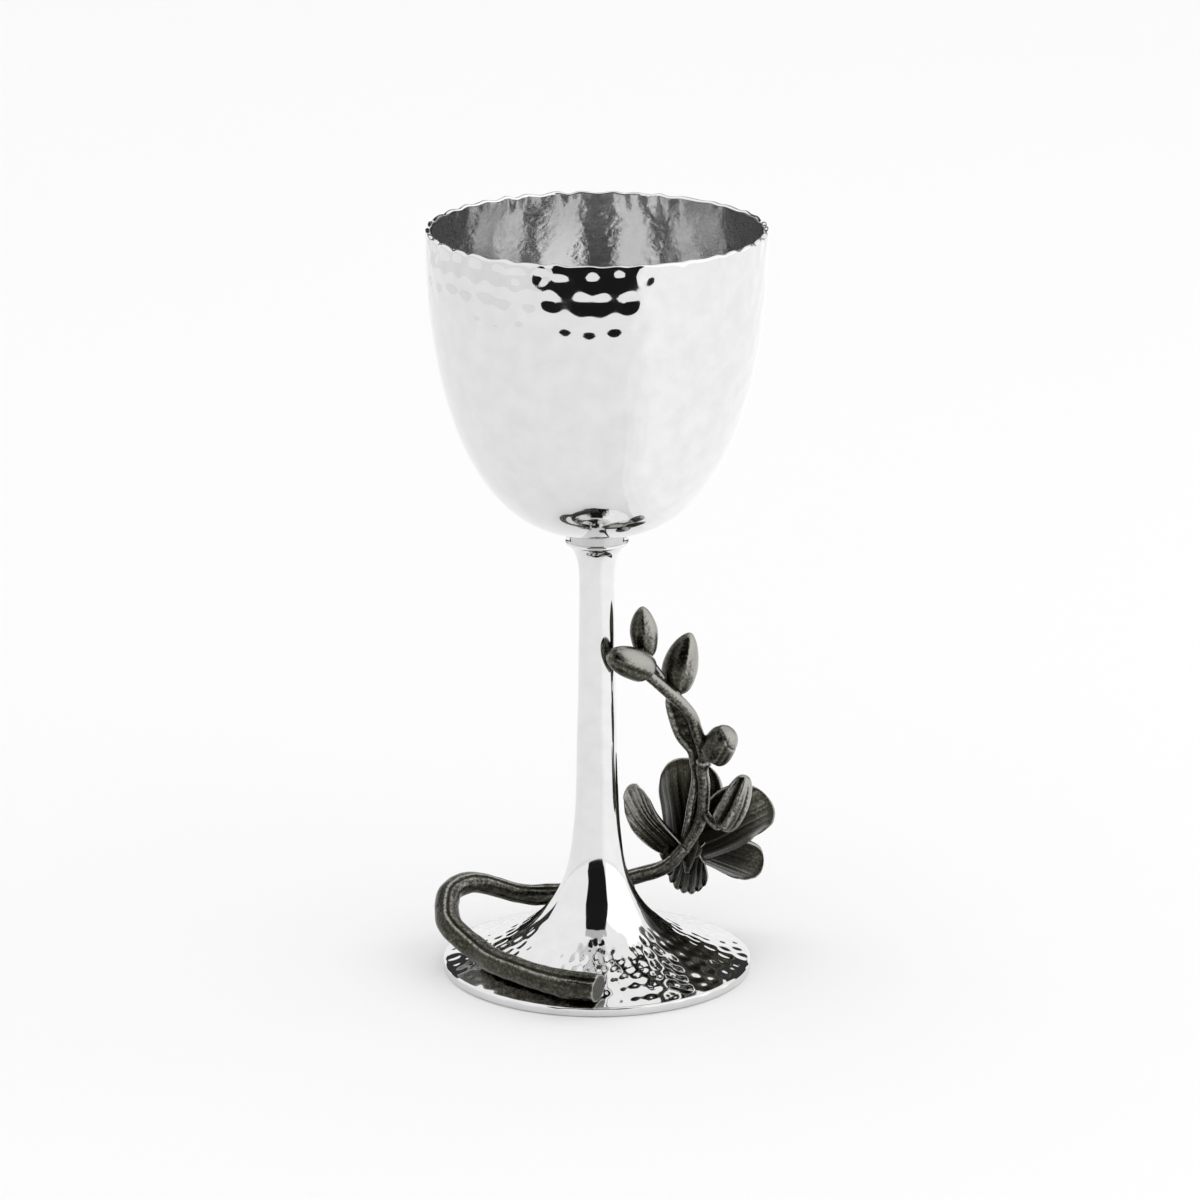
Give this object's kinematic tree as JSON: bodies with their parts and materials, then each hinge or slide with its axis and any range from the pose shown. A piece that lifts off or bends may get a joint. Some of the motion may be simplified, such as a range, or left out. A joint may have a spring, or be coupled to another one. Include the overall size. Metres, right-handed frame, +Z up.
{
  "type": "kiddush cup",
  "caption": "Stemmed kiddush cup: hollow hammered bowl with a wavy rim, slender stem on a trumpet foot, and a dark cast orchid branch wound round it.",
  "frame": {"origin": "in the plane of the foot's underside that the cup stands on, under the middle of the whole object; the cup's own axis stands 1.75 mm from it towards -X, because the flower reaches out past the bowl at +X", "axes": "+Z up, parallel to the cup's axis, +Y away from the viewer of the picture, +X to that viewer's right"},
  "size_m": [0.082, 0.0782, 0.1783],
  "materials": {
    "polished_metal": "polished",
    "dark_metal": "satin"
  },
  "bodies": {
    "root": {"bowl": "polished_metal", "stem_foot": "polished_metal", "orchid_branch": "dark_metal"}
  },
  "joints": []
}
